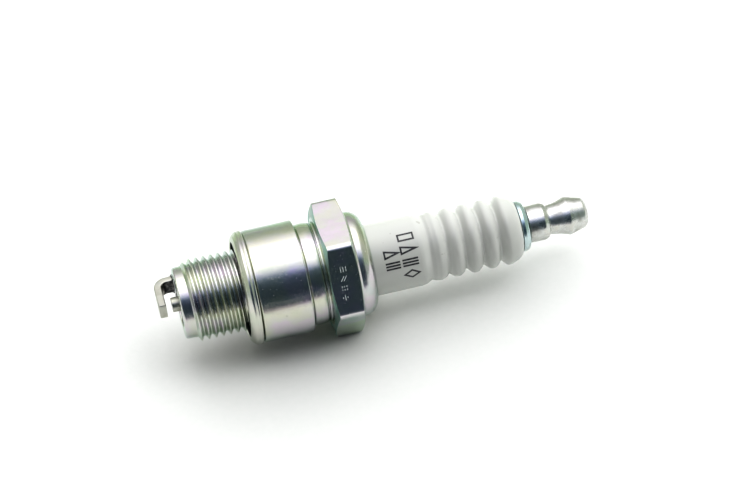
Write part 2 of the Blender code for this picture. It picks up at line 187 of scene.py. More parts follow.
def turned(name, corners, finish, closed=True, columns=COLUMNS, steps=6):
    """A turned piece from (station, radius, fillet) corners."""
    bm = bmesh.new()
    outline = with_supports(rounded(corners, closed, steps), closed)
    add_rows(bm, rows_of(outline, columns), loop=closed)
    return finish_piece(bm, name, [finish])


def stand_for(piece, node, body):
    """The piece takes a CAD node's place on its body."""
    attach(piece, body)
    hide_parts(node)


# ---------------------------------------------------------------- materials

class Tree:
    """Adds and links the nodes of one material or world."""

    def __init__(self, owner):
        owner.use_nodes = True
        self.tree = owner.node_tree

    def add(self, kind, **settings):
        node = self.tree.nodes.new(kind)
        for key, value in settings.items():
            setattr(node, key, value)
        return node

    def link(self, source, target):
        self.tree.links.new(source, target)

    def feed(self, socket, value):
        """Sets a socket to a number or a colour, or links it to another node's output."""
        if isinstance(value, tuple):
            socket.default_value = value if len(value) == 4 else (*value, 1.0)
        elif isinstance(value, (int, float)):
            socket.default_value = value
        else:
            self.link(value, socket)

    def split(self, vector):
        node = self.add("ShaderNodeSeparateXYZ")
        self.link(vector, node.inputs[0])
        return tuple(node.outputs)

    def calc(self, operation, *values):
        node = self.add("ShaderNodeMath", operation=operation)
        for socket, value in zip(node.inputs, values):
            self.feed(socket, value)
        return node.outputs[0]

    def ramp(self, value, stops):
        node = self.add("ShaderNodeValToRGB")
        band = node.color_ramp
        while len(band.elements) < len(stops):
            band.elements.new(0.5)
        for element, (at, color) in zip(band.elements, stops):
            element.position = at
            element.color = (*color, 1.0)
        self.link(value, node.inputs["Fac"])
        return node.outputs["Color"]

    def span(self, value, low, high, from_low=0.3, from_high=0.7, **settings):
        """low where the value is from_low, high where it is from_high."""
        node = self.add("ShaderNodeMapRange", **settings)
        node.inputs["From Min"].default_value = from_low
        node.inputs["From Max"].default_value = from_high
        node.inputs["To Min"].default_value = low
        node.inputs["To Max"].default_value = high
        self.link(value, node.inputs["Value"])
        return node.outputs["Result"]

    def step(self, value, start, end):
        """A soft step from 0 to 1."""
        return self.span(value, 0.0, 1.0, start, end, interpolation_type="SMOOTHSTEP")

    def tinted(self, color, factor, other):
        """color where factor is 0, other where it is 1."""
        node = self.add("ShaderNodeMix", data_type="RGBA")
        self.link(factor, node.inputs[0])
        self.feed(node.inputs[6], color)
        self.feed(node.inputs[7], other)
        return node.outputs[2]


class Nodes(Tree):
    """The nodes of one material round its Principled shader."""

    def __init__(self, name):
        self.material = bpy.data.materials.new(name)
        super().__init__(self.material)
        self.shader = self.tree.nodes["Principled BSDF"]
        self.place = self.add("ShaderNodeTexCoord").outputs["Object"]

    def stretched(self, x, y, z):
        """Object coordinates, scaled to so many features a metre along each local axis."""
        node = self.add("ShaderNodeMapping")
        node.inputs["Scale"].default_value = (x, y, z)
        self.link(self.place, node.inputs["Vector"])
        return node.outputs["Vector"]

    def along_axis(self, per_metre):
        """Coordinates that change only along the plug's axis, as turning marks do."""
        return self.stretched(0.0, 0.0, per_metre)

    def noise(self, vector, scale=1.0, detail=3.0, roughness=0.55):
        node = self.add("ShaderNodeTexNoise")
        node.inputs["Scale"].default_value = scale
        node.inputs["Detail"].default_value = detail
        node.inputs["Roughness"].default_value = roughness
        self.link(vector, node.inputs["Vector"])
        return node.outputs["Fac"]

    def bumps(self, *layers):
        """Stacks (height, distance in metres) layers into one normal."""
        normal = None
        for height, distance in layers:
            node = self.add("ShaderNodeBump")
            node.inputs["Strength"].default_value = 1.0
            node.inputs["Distance"].default_value = distance
            self.link(height, node.inputs["Height"])
            if normal is not None:
                self.link(normal, node.inputs["Normal"])
            normal = node.outputs["Normal"]
        self.link(normal, self.shader.inputs["Normal"])

    def set(self, **values):
        for key, value in values.items():
            self.feed(self.shader.inputs[key.replace("_", " ")], value)
        return self.material


def plated_steel():
    """Bright chromated plating: faint green, straw and lilac clouds, pits and turning marks."""
    n = Nodes("plated_steel")
    clouds = n.noise(n.stretched(160, 160, 110), detail=4.0)
    color = n.ramp(clouds, [
        (0.30, (0.58, 0.61, 0.50)), (0.42, (0.64, 0.64, 0.55)), (0.50, (0.63, 0.63, 0.59)),
        (0.57, (0.66, 0.60, 0.65)), (0.64, (0.63, 0.62, 0.62)), (0.72, (0.56, 0.62, 0.61)),
    ])
    pits = n.noise(n.place, scale=2600.0, detail=6.0, roughness=0.65)
    marks = n.noise(n.along_axis(9000.0), detail=2.0)
    color = n.tinted(color, n.span(pits, 0.0, 0.5, 0.60, 0.80), (0.42, 0.43, 0.38))
    waves = n.noise(n.stretched(150, 150, 80), detail=3.0)
    n.bumps((waves, 0.00007), (marks, 0.0000025), (pits, 0.0000045))
    return n.set(
        Base_Color=color,
        Metallic=1.0,
        Roughness=n.span(pits, 0.17, 0.30, 0.35, 0.75),
        Specular_Tint=(0.78, 0.93, 0.87, 1.0),
    )


def chamfer_steel():
    """Thicker, teal chromate where the bath gathered in the turned corner before the hexagon."""
    n = Nodes("chamfer_steel")
    clouds = n.noise(n.stretched(260, 260, 260), detail=3.0)
    color = n.ramp(clouds, [
        (0.34, (0.27, 0.47, 0.40)), (0.50, (0.34, 0.50, 0.45)), (0.66, (0.40, 0.49, 0.42)),
    ])
    grain = n.noise(n.along_axis(5000.0), detail=2.0)
    n.bumps((grain, 0.000004))
    return n.set(Base_Color=color, Metallic=0.75, Roughness=0.38)


def stamped_steel():
    """The torn, brighter metal in a stamped mark."""
    n = Nodes("stamped_steel")
    grain = n.noise(n.place, scale=5000.0, detail=3.0)
    n.bumps((grain, 0.00001))
    color = n.tinted((0.72, 0.75, 0.74), grain, (0.95, 0.97, 0.96))
    return n.set(Base_Color=color, Metallic=0.55, Roughness=0.6)


def fold_painted_shade():
    """Near-black steel as painted shade inside the gasket's fold and under its lip."""
    n = Nodes("fold_painted_shade")
    grain = n.noise(n.place, scale=1500.0, detail=3.0)
    n.bumps((grain, 0.00001))
    color = n.tinted((0.012, 0.016, 0.018), grain, (0.045, 0.055, 0.055))
    return n.set(Base_Color=color, Roughness=0.6)


def gasket_steel():
    """Plated sheet, drawn and folded: faint tints and soft wrinkles."""
    n = Nodes("gasket_steel")
    clouds = n.noise(n.stretched(240, 240, 160), detail=3.0)
    color = n.ramp(clouds, [
        (0.32, (0.61, 0.63, 0.55)), (0.52, (0.68, 0.67, 0.61)), (0.70, (0.64, 0.61, 0.63)),
    ])
    wrinkles = n.noise(n.stretched(420, 420, 900), detail=2.0)
    n.bumps((wrinkles, 0.000006))
    return n.set(
        Base_Color=color,
        Metallic=1.0,
        Roughness=n.span(wrinkles, 0.22, 0.27),
        Specular_Tint=(0.86, 0.93, 0.90, 1.0),
    )


def glazed_ceramic():
    """White glazed alumina with a faint orange-peel and a few firing specks."""
    n = Nodes("glazed_ceramic")
    clouds = n.noise(n.stretched(90, 90, 60), detail=2.0)
    color = n.ramp(clouds, [(0.30, (0.610, 0.625, 0.590)), (0.70, (0.650, 0.660, 0.632))])
    specks = n.noise(n.place, scale=900.0, detail=1.0)
    color = n.tinted(color, n.span(specks, 0.0, 0.45, 0.745, 0.79), (0.34, 0.33, 0.30))
    peel = n.noise(n.place, scale=700.0, detail=2.0)
    n.bumps((peel, 0.000006))
    return n.set(
        Base_Color=color,
        Roughness=n.span(clouds, 0.30, 0.36),
        Coat_Weight=0.55,
        Coat_Roughness=0.16,
    )


def printed_ink():
    """Dark grey ink fired onto the glaze, slightly uneven."""
    n = Nodes("printed_ink")
    wear = n.noise(n.place, scale=1800.0, detail=3.0)
    color = n.ramp(wear, [(0.30, (0.030, 0.030, 0.033)), (0.75, (0.105, 0.105, 0.108))])
    n.bumps((wear, 0.000004))
    return n.set(Base_Color=color, Roughness=0.42)


def nickel_alloy():
    """Drawn nickel alloy: satin, with fine lines along the wire."""
    n = Nodes("nickel_alloy")
    clouds = n.noise(n.stretched(500, 500, 500), detail=4.0)
    color = n.ramp(clouds, [
        (0.30, (0.42, 0.42, 0.36)), (0.55, (0.53, 0.53, 0.47)), (0.75, (0.47, 0.48, 0.45)),
    ])
    lines = n.noise(n.stretched(7000, 900, 900), detail=2.0)
    n.bumps((lines, 0.000004))
    return n.set(Base_Color=color, Metallic=1.0, Roughness=n.span(lines, 0.28, 0.40))


def scorch_and_painted_shade_alloy():
    """Nickel alloy darkened by the welding heat on the weld; on the strap's inner face the same dark is
    painted shade.
    """
    n = Nodes("scorch_and_painted_shade_alloy")
    clouds = n.noise(n.stretched(1400, 1400, 1400), detail=5.0)
    color = n.ramp(clouds, [
        (0.34, (0.05, 0.05, 0.055)), (0.50, (0.12, 0.12, 0.12)), (0.66, (0.38, 0.37, 0.36)),
    ])
    n.bumps((clouds, 0.00004))
    return n.set(Base_Color=color, Metallic=1.0, Roughness=n.span(clouds, 0.30, 0.50))


def zinc_steel():
    """Blue-passivated zinc."""
    n = Nodes("zinc_steel")
    clouds = n.noise(n.stretched(300, 300, 300), detail=3.0)
    color = n.ramp(clouds, [
        (0.30, (0.50, 0.63, 0.66)), (0.55, (0.62, 0.72, 0.72)), (0.72, (0.66, 0.70, 0.64)),
    ])
    marks = n.noise(n.along_axis(12000.0), detail=2.0)
    n.bumps((marks, 0.000003))
    return n.set(Base_Color=color, Metallic=1.0, Roughness=n.span(clouds, 0.20, 0.32))


def nut_nickel():
    """Nickel plate with turning rings, handling scratches and dull smudges."""
    n = Nodes("nut_nickel")
    smudges = n.noise(n.stretched(450, 450, 350), detail=5.0, roughness=0.62)
    color = n.ramp(smudges, [
        (0.28, (0.30, 0.30, 0.28)), (0.40, (0.52, 0.52, 0.49)),
        (0.54, (0.68, 0.69, 0.67)), (0.75, (0.60, 0.58, 0.52)),
    ])
    rings = n.noise(n.along_axis(4200.0), detail=3.0)
    scratches = n.noise(n.stretched(2200, 2200, 700), detail=5.0, roughness=0.7)
    n.bumps((rings, 0.000008), (scratches, 0.000008))
    return n.set(Base_Color=color, Metallic=1.0, Roughness=n.span(smudges, 0.38, 0.22))


def plain_metal(name, color, dark, roughness, scale):
    """A satin metal whose grain drifts between two shades."""
    n = Nodes(name)
    grain = n.noise(n.place, scale=scale, detail=4.0)
    n.bumps((grain, 0.000005))
    return n.set(
        Base_Color=n.tinted(dark, n.span(grain, 0.0, 1.0), color),
        Metallic=1.0,
        Roughness=n.span(grain, roughness + 0.08, roughness - 0.05),
    )


def powder(name, color, dark, scale, roughness):
    """A dull pressed or sintered fill."""
    n = Nodes(name)
    grain = n.noise(n.place, scale=scale, detail=6.0, roughness=0.7)
    n.bumps((grain, 0.00002))
    return n.set(Base_Color=n.tinted(dark, n.span(grain, 0.0, 1.0), color), Roughness=roughness)


# ---------------------------------------------------------------- metal shell

THREAD_PITCH = 1.25
THREAD_CREST_R = 6.95
THREAD_ROOT_R = 6.2
THREAD_CREST_AT = -3.74           # a crest's station on local +x
THREAD_FRONT, THREAD_REAR = -11.3, -1.5
THREAD_LEAD_IN, THREAD_RUN_OUT = 1.0, 0.6
CREST_END, ROOT_START = 0.0625, 0.4085     # shares of the pitch from a crest; the flank lies between
LAND_R = 6.1
SEAT_R = 9.6
SEAT_LENGTH = 8.6
HEX_FRONT, HEX_REAR = 12.1, 17.1
HEX_APOTHEM = (shell_high.z - shell_low.z) / 2 / MM
HEX_FACE_R = 10.2
HEX_CORNER_ROUND = 1.2
HEX_CHAMFER = math.radians(15)
HEX_EDGE = 0.07
COLLAR_R = 8.95
NECK_R = 6.15


def thread_height(share):
    """0 at the root, 1 at the crest, for a share of the pitch from the crest; flanks at 30 degrees."""
    soft = 0.035
    climb = (ROOT_START - abs(share)) / (ROOT_START - CREST_END)
    return (math.hypot(climb, soft) - math.hypot(climb - 1, soft) + 1) / 2


def add_thread(bm, crest_r, root_r, end_r, pitch, crest_at, front, rear, lead_in, run_out, columns):
    """A right-hand external thread whose rows climb one pitch a turn and fade out at both ends."""
    crest_side = [0.03, 0.05, CREST_END, 0.075, 0.10]
    root_side = [0.37, 0.395, ROOT_START, 0.422, 0.445]
    half = crest_side + root_side
    shares = [-0.5, *(-share for share in reversed(half)), 0.0, *half]
    per_turn = len(shares)
    first = crest_at - (math.ceil((crest_at - front) / pitch) + 2) * pitch
    turns = math.ceil((rear - first) / pitch) + 1
    rows = []
    for row in range(turns * per_turn):
        ring = []
        for column in range(columns):
            share = shares[row % per_turn]
            at = first + (row // per_turn + share + column / columns) * pitch
            at = min(max(at, front), rear)
            fade = min((at - front) / lead_in, (rear - at) / run_out, 1.0)
            full = root_r + (crest_r - root_r) * thread_height(share)
            radius = end_r + (full - end_r) * fade * fade * (3 - 2 * fade)
            angle = 2 * math.pi * column / columns
            point = (radius * math.cos(angle) * MM, radius * math.sin(angle) * MM, at * MM)
            ring.append(bm.verts.new(point))
        rows.append(ring)
    for low, high in zip(rows, rows[1:]):
        for i in range(columns - 1):
            bm.faces.new((low[i], low[i + 1], high[i + 1], high[i]))
    ends = [row[-1] for row in rows]
    starts = [row[0] for row in rows[per_turn:]]
    for end, start, next_start, next_end in zip(ends, starts, starts[1:], ends[1:]):
        bm.faces.new((end, start, next_start, next_end))


def hexagon_angles():
    """Column angles that crowd together at the hexagon's corners."""
    even = 2 * math.pi * np.arange(COLUMNS) / COLUMNS
    crowding = 0.13
    return even - crowding * np.sin(6 * (even - math.radians(30)))


def hexagon_radius(angle):
    """Radius of the hexagon with rounded corners; the corners are at 30 degrees and every 60."""
    off = math.radians(abs(math.degrees(angle) % 60 - 30))
    sixth = math.radians(30)
    centre = (HEX_APOTHEM - HEX_CORNER_ROUND) / math.cos(sixth)
    reach = HEX_CORNER_ROUND * math.sin(sixth)
    if off < math.atan(reach / (centre + HEX_CORNER_ROUND * math.cos(sixth))):
        return centre * math.cos(off) + math.sqrt(HEX_CORNER_ROUND ** 2 - (centre * math.sin(off)) ** 2)
    return HEX_APOTHEM / math.cos(sixth - off)


def hexagon_rows():
    """The hexagon from its front face to its rear face, with turned chamfers and softened edges.

    Four rows round the edge between a chamfer and the flats, and a fifth holds the flats flat.
    """
    angles = hexagon_angles()
    radii = np.array([hexagon_radius(angle) for angle in angles])
    depth = (radii - HEX_FACE_R) * math.tan(HEX_CHAMFER)

    def row(at, radius):
        at = np.broadcast_to(at, radii.shape)
        return np.column_stack((radius * np.cos(angles), radius * np.sin(angles), at))

    on_cone = HEX_EDGE * math.cos(HEX_CHAMFER), HEX_EDGE * math.sin(HEX_CHAMFER)
    front = [
        row(HEX_FRONT, np.full_like(radii, HEX_FACE_R - 0.05)),
        row(HEX_FRONT + 0.004, np.full_like(radii, HEX_FACE_R + 0.02)),
        row(HEX_FRONT + depth - on_cone[1], radii - on_cone[0]),
        row(HEX_FRONT + depth - 0.15 * on_cone[1] + 0.10 * HEX_EDGE, radii - 0.28 * on_cone[0]),
        row(HEX_FRONT + depth + 0.40 * HEX_EDGE, radii - 0.07 * on_cone[0]),
        row(HEX_FRONT + depth + HEX_EDGE, radii),
        row(HEX_FRONT + depth + 2 * HEX_EDGE, radii),
    ]
    middle = HEX_FRONT + HEX_REAR
    rear = [np.column_stack((points[:, :2], middle - points[:, 2])) for points in reversed(front)]
    return front + rear


def collar_corners():
    lip_r = NECK_R + 0.06
    turn_r = 2.45
    turn_at = 17.70
    corners = [(HEX_REAR, 9.8, 0), (HEX_REAR, 9.30, 0.1), (17.5, COLLAR_R, 0.35)]
    corners += arc(turn_at, COLLAR_R - turn_r, turn_r, 90, 4, 16)
    corners += [
        (turn_at + turn_r - 0.02, lip_r, 0.12), (18.9, lip_r, 0.2), (17.8, 7.5, 0.2), (3.2, 7.5, 0.2),
        (2.6, 5.1, 0.2), (-5.15, 5.1, 0.1), (-6.0, 4.25, 0.2), (-REACH, 4.25, 0.18),
        (-REACH, LAND_R, 0.42), (THREAD_FRONT, LAND_R, 0),
    ]
    return corners


def body_corners():
    return [
        (THREAD_REAR, LAND_R, 0), (0.0, LAND_R, 0.3), (0.0, SEAT_R, 0.42),
        (SEAT_LENGTH, SEAT_R, 0.16), (SEAT_LENGTH + 0.03, 8.3, 0.1), (8.85, 8.3, 0.1),
        (8.97, 8.62, 0.2), (10.2, 8.75, 3.0), (11.32, 8.55, 0.25), (11.42, 8.1, 0.05),
        (11.54, 8.1, 0.05), (11.60, 8.62, 0.08), (11.86, 8.66, 0.08), (11.94, 8.4, 0.04),
        (12.02, 8.9, 0.06), (HEX_FRONT, 9.3, 0.06), (HEX_FRONT, 9.9, 0),
    ]


MARK_STROKES = {
    # strokes of one stamped mark as (along, up) pairs in units of half its height
    "bars": [((-0.9, -0.8), (-0.9, 0.8)), ((0, -0.8), (0, 0.8)), ((0.9, -0.8), (0.9, 0.8))],
    "slopes": [((-1.0, -0.8), (0.1, 0.8)), ((-0.1, -0.8), (1.0, 0.8))],
    "pecks": [((at, low), (at, low + 0.4)) for at in (-0.8, 0, 0.8) for low in (0.35, -0.75)],
    "rule": [((0, -0.9), (0, 0.9)), ((-0.75, -0.2), (-0.75, 0.2)), ((0.75, -0.2), (0.75, 0.2))],
}
MARK_HALF_HEIGHT = 0.5
MARK_DEPTH, MARK_HALF_WIDTH = 0.07, 0.066
CHISEL_PROUD = 0.03               # how far the cutter stands out of the flat
CHISEL_OVERRUN = 0.05             # how far its top runs past each end of the groove
FIRST_MARK = (14.5, 2.15)         # station, and height above the flat's middle
MARK_STEP = (-0.15, -1.6)
FLAT_ANGLE = math.radians(30)     # the front flat's normal above the horizontal, on the -Y side


def add_chisel(bm, start, end):
    """A wedge that cuts a groove from one (along, up) place on the front flat to another."""
    out = Vector((-math.sin(FLAT_ANGLE), -math.cos(FLAT_ANGLE), 0.0))
    up = Vector((-math.cos(FLAT_ANGLE), math.sin(FLAT_ANGLE), 0.0))
    along = Vector((0.0, 0.0, 1.0))
    top_half = MARK_HALF_WIDTH * (MARK_DEPTH + CHISEL_PROUD) / MARK_DEPTH
    places = [out * HEX_APOTHEM + along * a + up * b for a, b in (start, end)]
    run = (places[1] - places[0]).normalized()
    side = run.cross(out)
    rings = []
    for place, push in zip(places, (-run, run)):
        top = place + out * CHISEL_PROUD + push * CHISEL_OVERRUN
        corners = (top + side * top_half, top - side * top_half, place - out * MARK_DEPTH)
        rings.append([bm.verts.new(point * MM) for point in corners])
    skin(bm, rings)
    for ring in rings:
        bm.faces.new(ring)


def stamp_marks(shell):
    """Four small chisel-cut marks, none of them a letter, in a row across the front flat."""
    bm = bmesh.new()
    for number, kind in enumerate(("bars", "slopes", "pecks", "rule")):
        middle = [first + number * step for first, step in zip(FIRST_MARK, MARK_STEP)]
        for stroke in MARK_STROKES[kind]:
            add_chisel(bm, *[
                (middle[0] + a * MARK_HALF_HEIGHT, middle[1] + b * MARK_HALF_HEIGHT) for a, b in stroke
            ])
    bmesh.ops.recalc_face_normals(bm, faces=bm.faces)
    for face in bm.faces:
        face.material_index = 1
    mesh = bpy.data.meshes.new("chisel")
    bm.to_mesh(mesh)
    bm.free()
    for item in shell.data.materials:
        mesh.materials.append(item)
    tool = linked_object("chisel", mesh)
    tool.matrix_world = PLUG_FRAME
    cut = shell.modifiers.new("marks", "BOOLEAN")
    cut.operation = "DIFFERENCE"
    cut.solver = "EXACT"
    cut.object = tool
    bpy.context.view_layer.update()
    graph = bpy.context.evaluated_depsgraph_get()
    stamped = bpy.data.meshes.new_from_object(shell.evaluated_get(graph))
    shell.modifiers.clear()
    shell.data = stamped
    stamped.set_sharp_from_angle(angle=math.radians(28))
    bpy.data.objects.remove(tool)


def make_shell(finish, stamped_finish, chamfer_finish):
    bm = bmesh.new()
    add_thread(
        bm, THREAD_CREST_R, THREAD_ROOT_R, LAND_R, THREAD_PITCH, THREAD_CREST_AT,
        THREAD_FRONT, THREAD_REAR, THREAD_LEAD_IN, THREAD_RUN_OUT, COLUMNS,
    )
    body = with_supports(rounded(body_corners()))
    collar = with_supports(rounded(collar_corners()))
    add_rows(bm, rows_of(body) + hexagon_rows() + rows_of(collar))
    shell = finish_piece(bm, "shell", [finish, stamped_finish, chamfer_finish])
    cone_start, cone_end, cone_inner_r = HEX_FRONT - 0.05, HEX_FRONT + 0.55, 9.2
    for face in shell.data.polygons:
        middle = face.center / MM
        on_cone = cone_start < middle.z < cone_end and middle.xy.length > cone_inner_r
        if on_cone and face.normal.z < -0.9:
            face.material_index = 2
    stamp_marks(shell)
    stand_for(shell, "metal_shell", "plug_body")


# ---------------------------------------------------------------- gasket

def make_gasket(finish, fold_shade_finish):
    """A folded sheet: a narrow rear roll, a sloping front roll and a thin lip behind the thread."""
    low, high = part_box("gasket")
    rear, front = station(high.x), station(low.x) + 0.1
    painted_shade_r = 8.16               # within this radius the sheet gets near-black painted shade
    askew = math.radians(0.8)         # the loose gasket sits slightly tipped on its seat
    outer = (high.z - low.z) / 2 / MM
    rear_r, front_r = 0.33, 0.45
    corners = [(rear, 6.6, 0), (rear, 8.9, 0.1)]
    corners += arc(rear - 0.02 - rear_r, outer - rear_r, rear_r, 0, 128, 12)
    corners += [(rear - 0.66, outer - 0.15, 0.04), (rear - 0.85, outer - 0.06, 0.12)]
    corners += [(rear - 1.15, outer - 0.15, 0.5), (rear - 1.72, outer - 0.66, 0.5)]
    corners += arc(front + front_r, outer - 0.80 - front_r, front_r, 150, 180, 5)
    corners += arc(front + 0.3, 8.4, 0.3, 185, 265, 6)
    corners += [(rear - 1.2, 8.1, 0.3), (rear - 0.65, 7.4, 0.2), (rear - 0.62, 6.6, 0)]
    gasket = turned("crush_gasket", corners, finish)
    gasket.data.materials.append(fold_shade_finish)
    # faces inside the fold and under the lip are painted near black as shade
    for face in gasket.data.polygons:
        middle = face.center / MM
        if middle.xy.length < painted_shade_r and face.normal.z <= 0.9:
            face.material_index = 1
    seat = Matrix.Translation((0, 0, rear * MM))
    gasket.matrix_world = PLUG_FRAME @ seat @ Matrix.Rotation(askew, 4, "Y") @ seat.inverted()
    stand_for(gasket, "gasket", "gasket")


# ---------------------------------------------------------------- insulator

NECK_REAR = 28.3
RIBS = [31.65, 34.7, 37.75, 40.8, 43.85]
GROOVE_RADII = [5.58, 5.20, 4.98, 4.98, 4.98]
RIB_R = 5.96


def rib_curve(crown):
    """Five rounded ribs: one wave that dips to a groove before each, and ends at the crown."""
    spacing = RIBS[1] - RIBS[0]
    points = [(NECK_REAR, NECK_R), (NECK_REAR + 0.7, NECK_R - 0.12)]
    for number, (at, groove_r) in enumerate(zip(RIBS, GROOVE_RADII)):
        groove_at = at - spacing / 2
        middle = (RIB_R + groove_r) / 2
        points += [(groove_at - 0.22, groove_r + 0.05), (groove_at + 0.12, groove_r + 0.01)]
        points += [(groove_at + 0.58, middle), (at - 0.5, RIB_R - 0.10), (at, RIB_R)]
        if at != RIBS[-1]:
            following = (RIB_R + GROOVE_RADII[number + 1]) / 2
            points += [(at + 0.5, RIB_R - 0.13), (at + 0.98, following)]
    points += [
        (at + 0.8, RIB_R - 0.24), (crown - 0.95, 5.42), (crown - 0.35, 4.98),
        (crown - 0.04, 4.55), (crown, 4.2),
    ]
    return smooth_curve(points)


def make_insulator(finish):
    crown = station(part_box("insulator")[1].x)
    corners = [
        (-12.2, 1.45, 0), (-12.2, 2.4, 0.35), (-5.5, 3.6, 0.3), (-4.2, 4.9, 0.4),
        (3.2, 4.9, 0.3), (3.9, 7.2, 0.4), (12.5, 7.2, 0.5), (13.0, NECK_R, 0.2),
    ]
    corners += rib_curve(crown)
    corners += [(crown, 2.2, 0.1), (2.0, 2.2, 0.1), (1.7, 1.45, 0)]
    piece = turned("ceramic_insulator", corners, finish)
    stand_for(piece, "insulator", "plug_body")


# Marks printed round the neck, none of them a letter: each is a list of strokes, and a stroke is a
# list of (along, down) places in a cell that runs from -1 to 1 each way.
PRINT_SHAPES = {
    "frame": [[(-1, -0.8), (1, -0.8), (1, 0.8), (-1, 0.8), (-1, -0.8)]],
    "wedge": [[(-1, -0.85), (1, 0.0), (-1, 0.85), (-1, -0.85)]],
    "rules": [[(-1, -0.75), (1, -0.75)], [(-1, 0.0), (1, 0.0)], [(-1, 0.75), (1, 0.75)]],
    "lozenge": [[(-1, 0.0), (0.0, -0.9), (1, 0.0), (0.0, 0.9), (-1, 0.0)]],
}
PRINT_MARKS = [
    # (shape, middle station, degrees above the horizon in front, half length, half height)
    ("frame", 26.4, 68.5, 1.27, 0.68), ("wedge", 26.4, 48.0, 1.27, 0.68),
    ("rules", 26.4, 27.5, 1.27, 0.68), ("lozenge", 26.4, 7.0, 1.27, 0.80),
    ("wedge", 23.4, 46.0, 1.15, 0.68), ("rules", 23.4, 27.0, 1.15, 0.68),
]
PRINT_STROKE = 0.15               # half the width of a stroke
PRINT_LIFT, PRINT_ROOT = 0.012, -0.05


def wide_stroke(path):
    """Left and right edge points along a path, mitred at its bends and closed where it closes."""
    path = [np.array(point, float) for point in path]
    closed = np.allclose(path[0], path[-1])
    edges = []
    for index, here in enumerate(path):
        before = path[index - 1] if index else (path[-2] if closed else None)
        after = path[index + 1] if index + 1 < len(path) else (path[1] if closed else None)
        pairs = [(a, b) for a, b in ((before, here), (here, after)) if a is not None and b is not None]
        runs = [(b - a) / np.linalg.norm(b - a) for a, b in pairs]
        sides = [np.array((-run[1], run[0])) for run in runs]
        mitre = sum(sides) / np.linalg.norm(sum(sides))
        reach = PRINT_STROKE / float(mitre @ sides[0])
        push = np.zeros(2)
        if len(runs) == 1:
            push = runs[0] * PRINT_STROKE * (-0.6 if index == 0 else 0.6)
        edges.append((here + push + mitre * reach, here + push - mitre * reach))
    return edges


def fine_edges(edges):
    """The same edges with points close enough together to follow the round neck."""
    fine = []
    for (left, right), (next_left, next_right) in zip(edges, edges[1:]):
        pieces = max(2, math.ceil(float(np.linalg.norm(next_left - left)) / 0.15))
        for piece in range(pieces):
            share = piece / pieces
            fine.append((left + (next_left - left) * share, right + (next_right - right) * share))
    fine.append(edges[-1])
    return fine


def make_print(ink):
    """The printed marks as thin raised ink that follows the neck."""
    bm = bmesh.new()
    for shape, middle, elevation, half_length, half_height in PRINT_MARKS:

        def on_neck(place, lift):
            angle = place[1] / NECK_R - math.radians(90 + elevation)
            radius = NECK_R + lift
            point = Vector((radius * math.cos(angle), radius * math.sin(angle), middle + place[0]))
            return bm.verts.new(point * MM)

        for stroke in PRINT_SHAPES[shape]:
            edges = wide_stroke([(a * half_length, b * half_height) for a, b in stroke])
            rings = [
                [
                    on_neck(left, PRINT_LIFT), on_neck(right, PRINT_LIFT),
                    on_neck(right, PRINT_ROOT), on_neck(left, PRINT_ROOT),
                ]
                for left, right in fine_edges(edges)
            ]
            skin(bm, rings)
            if stroke[0] != stroke[-1]:
                bm.faces.new(rings[0])
                bm.faces.new(rings[-1])
    piece = finish_piece(bm, "neck_marks", [ink])
    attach(piece, "plug_body")


# ---------------------------------------------------------------- electrodes

def make_centre_electrode(finish):
    tip = station(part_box("center_electrode")[0].x)
    corners = [
        (tip, 0.0, 0.0), (tip, 1.25, 0.10), (1.6, 1.25, 0.1), (2.3, 1.95, 0.1),
        (3.9, 1.95, 0.1), (3.9, 0.9, 0.05), (-11.8, 0.9, 0.05), (-11.8, 0.0, 0.0),
    ]
    piece = turned("spark_pin", corners, finish, closed=False, columns=SMALL_COLUMNS)
    stand_for(piece, "center_electrode", "plug_body")


STRAP_THICKNESS, STRAP_WIDTH = 1.25, 2.8
STRAP_R, STRAP_BEND_R, STRAP_END = 4.95, 1.675, -1.2
STRAP_EDGE = 0.2


def strap_path(front, root):
    """The strap's middle line as (radial place, station, heading), root first."""
    level = front + STRAP_THICKNESS / 2
    bend_at, bend_r = level + STRAP_BEND_R, STRAP_R - STRAP_BEND_R
    path = [(STRAP_R, root, 0.0), (STRAP_R, (root + bend_at) / 2, 0.0)]
    steps = 20
    for step in range(steps + 1):
        turn = math.pi / 2 * step / steps
        radial = bend_r + STRAP_BEND_R * math.cos(turn)
        path.append((radial, bend_at - STRAP_BEND_R * math.sin(turn), turn))
    for share in (0.35, 0.7, 0.98, 1.0):
        path.append((bend_r + (STRAP_END - bend_r) * share, level, math.pi / 2))
    return path


def bar_section():
    """The strap's section, a rectangle with rounded edges, as (across, out) points."""
    section = []
    steps = 4
    for corner, (side, face) in enumerate(((1, 1), (-1, 1), (-1, -1), (1, -1))):
        across = side * (STRAP_WIDTH / 2 - STRAP_EDGE)
        out = face * (STRAP_THICKNESS / 2 - STRAP_EDGE)
        for step in range(steps + 1):
            angle = math.pi / 2 * (corner + step / steps)
            section.append((across + STRAP_EDGE * math.cos(angle), out + STRAP_EDGE * math.sin(angle)))
    return section


def make_ground_electrode(finish, painted_shade_finish):
    front, root = station(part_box("ground_electrode")[0].x), -REACH + 0.02
    tip_taper, root_flare, flare_length = 0.93, 0.10, 0.5
    section = bar_section()
    bm = bmesh.new()
    rings = []
    path = strap_path(front, root)
    for number, (radial, at, turn) in enumerate(path):
        size = tip_taper if number == len(path) - 1 else 1.0
        if number < 2:
            size *= 1.0 + root_flare * max(0.0, 1 - (root - at) / flare_length)
        ring = []
        for across, out in section:
            out *= size
            point = (across * size, radial + out * math.cos(turn), at - out * math.sin(turn))
            ring.append(bm.verts.new(Vector(point) * MM))
        rings.append(ring)
    skin(bm, rings)
    bm.faces.new(rings[0])
    bm.faces.new(rings[-1])
    piece = finish_piece(bm, "ground_strap", [finish, painted_shade_finish], sharp_angle=40.0)
    # the strap's inner faces, towards the plug's axis, get the dark alloy as painted shade
    for face in piece.data.polygons:
        if face.normal.y < -0.8 and face.center.y > 2 * MM:
            face.material_index = 1
    stand_for(piece, "ground_electrode", "plug_body")


